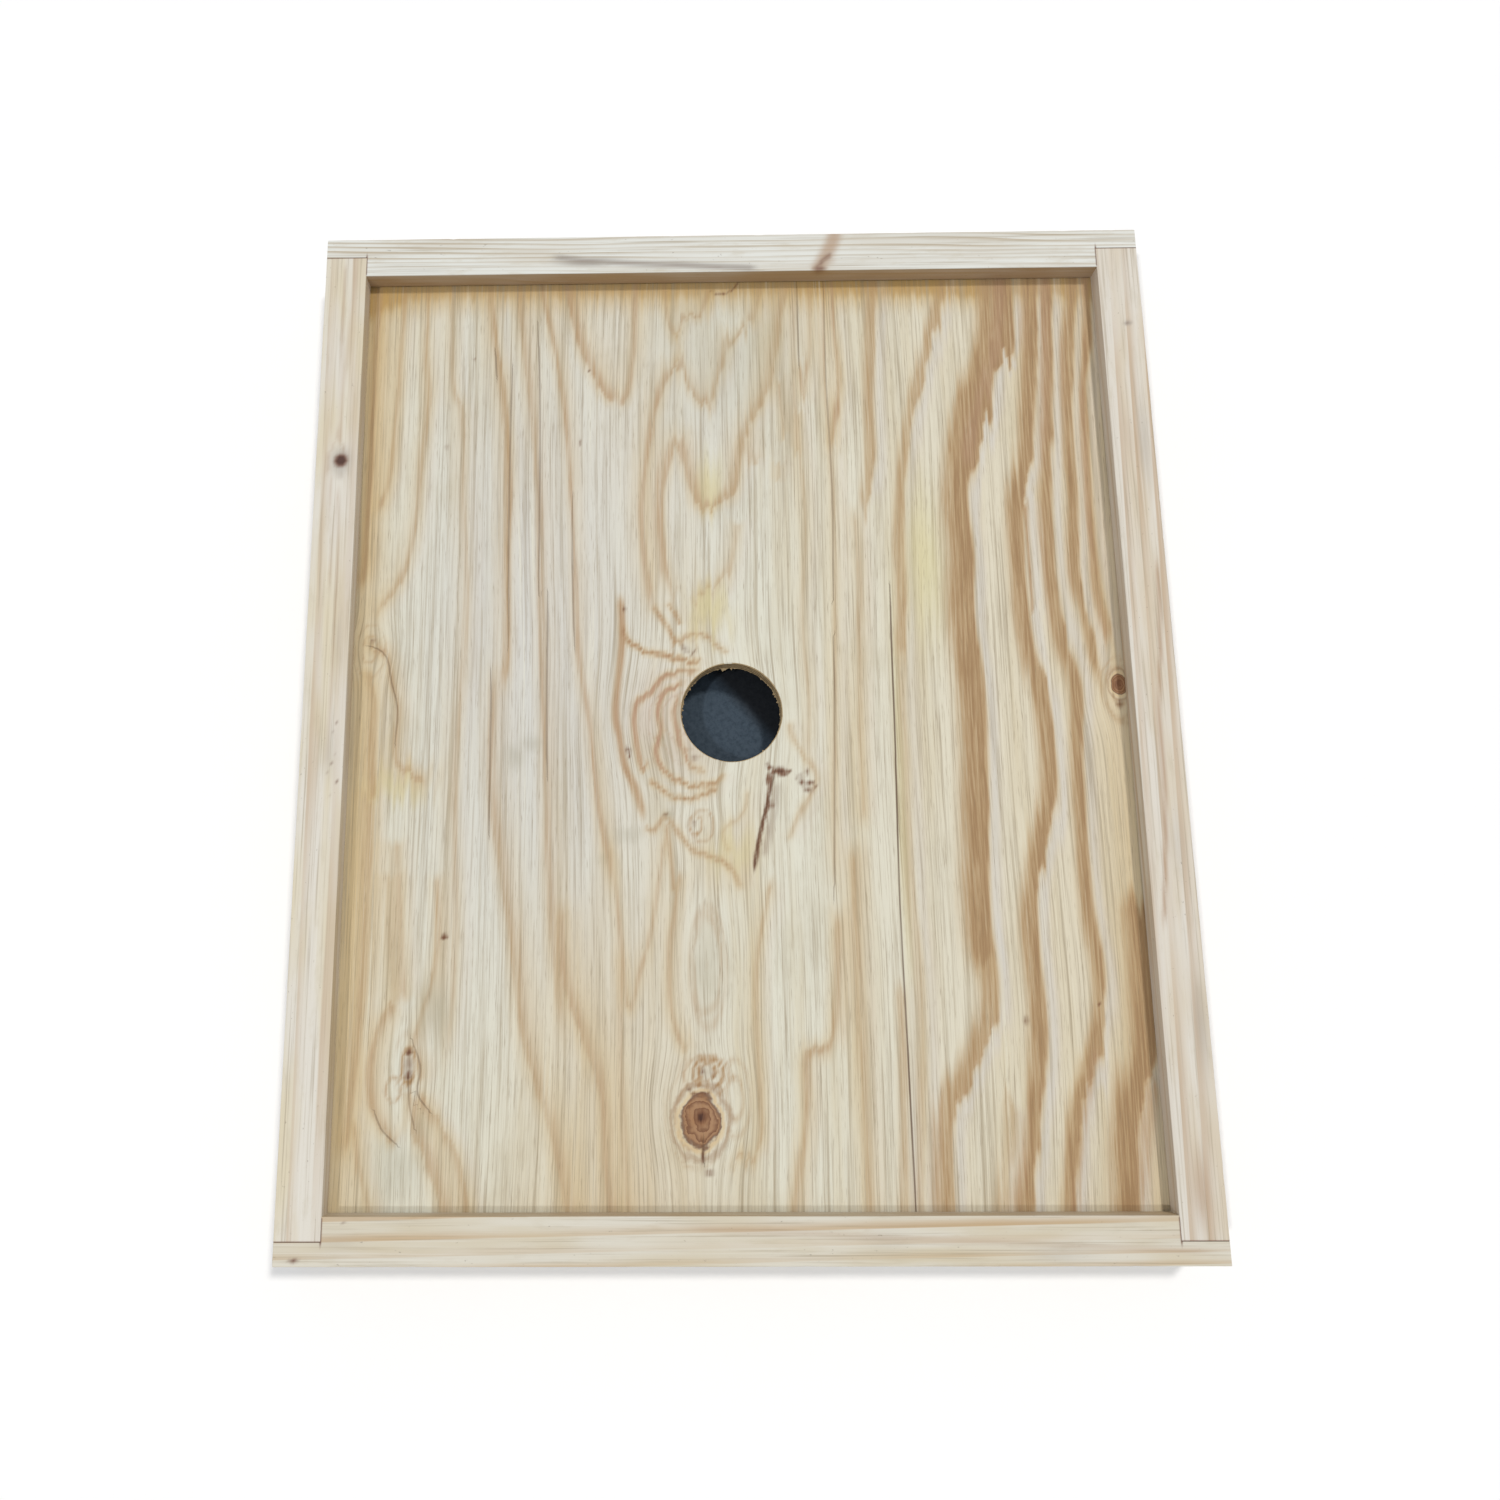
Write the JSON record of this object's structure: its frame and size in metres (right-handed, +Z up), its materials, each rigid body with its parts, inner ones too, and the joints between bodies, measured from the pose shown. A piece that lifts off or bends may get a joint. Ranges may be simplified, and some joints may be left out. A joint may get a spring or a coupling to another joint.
{
  "type": "cornhole board",
  "caption": "Bare-wood tossing board: a plywood deck with a round hole, sunk in a raised frame of rebated softwood rails.",
  "frame": {"origin": "middle of the board's underside, on the plane that it rests on", "axes": "+Z up out of the deck, +Y along the board towards the far end rail, +X across the board to the right"},
  "size_m": [0.762, 0.9144, 0.0635],
  "materials": {
    "plywood": "bare sanded softwood plywood, rotary-cut face",
    "softwood": "bare planed softwood",
    "screw_steel": "zinc-plated steel"
  },
  "bodies": {
    "root": {"deck_panel": "plywood", "rail_far": "softwood", "rail_near": "softwood", "rail_left": "softwood", "rail_right": "softwood", "screw_far_left_upper": "screw_steel", "screw_far_left_lower": "screw_steel", "screw_far_right_upper": "screw_steel", "screw_far_right_lower": "screw_steel", "screw_near_left_upper": "screw_steel", "screw_near_left_lower": "screw_steel", "screw_near_right_upper": "screw_steel", "screw_near_right_lower": "screw_steel"}
  },
  "joints": []
}
